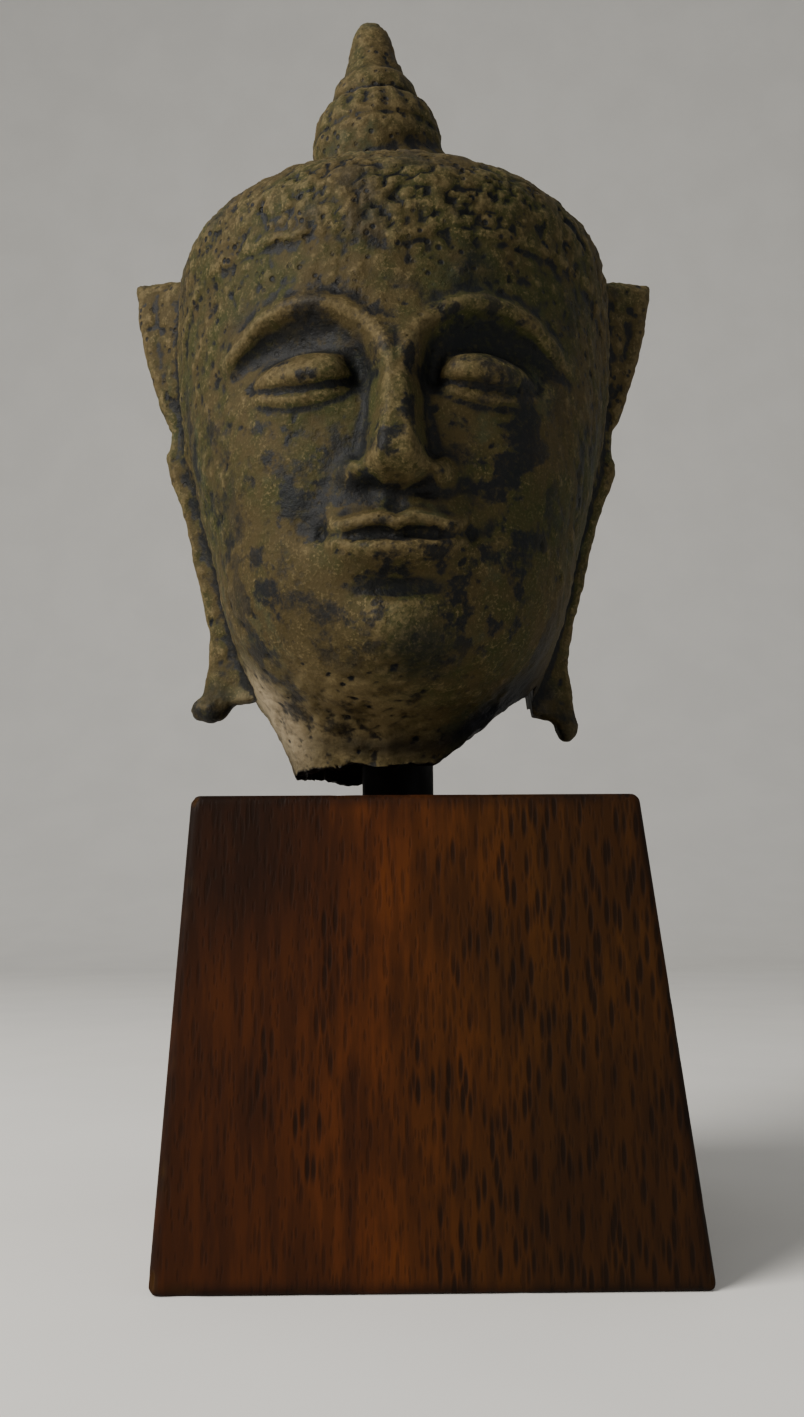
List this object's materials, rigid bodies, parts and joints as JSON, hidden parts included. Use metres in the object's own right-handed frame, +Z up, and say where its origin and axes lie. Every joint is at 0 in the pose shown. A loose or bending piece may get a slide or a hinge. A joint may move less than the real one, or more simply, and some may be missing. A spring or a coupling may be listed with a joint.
{
  "type": "mounted bronze head sculpture",
  "caption": "Small cast bronze head with long ears, a capped crown and a pointed finial, broken at the neck, on a short post and a tapered hardwood plinth.",
  "frame": {"origin": "centre of the plinth's underside, on the surface that the piece stands on", "axes": "+Z up, the face looks along -Y, +X to the viewer's right"},
  "size_m": [0.063, 0.0605, 0.1425],
  "materials": {
    "bronze": "matt cast bronze with a mottled brown, olive and tan patina and blackened patches",
    "blackened_post": "dull black",
    "stained_hardwood": "reddish-brown stained hardwood with dark pores, satin"
  },
  "bodies": {
    "root": {"head": "bronze", "mounting_post": "blackened_post", "plinth": "stained_hardwood"}
  },
  "joints": []
}
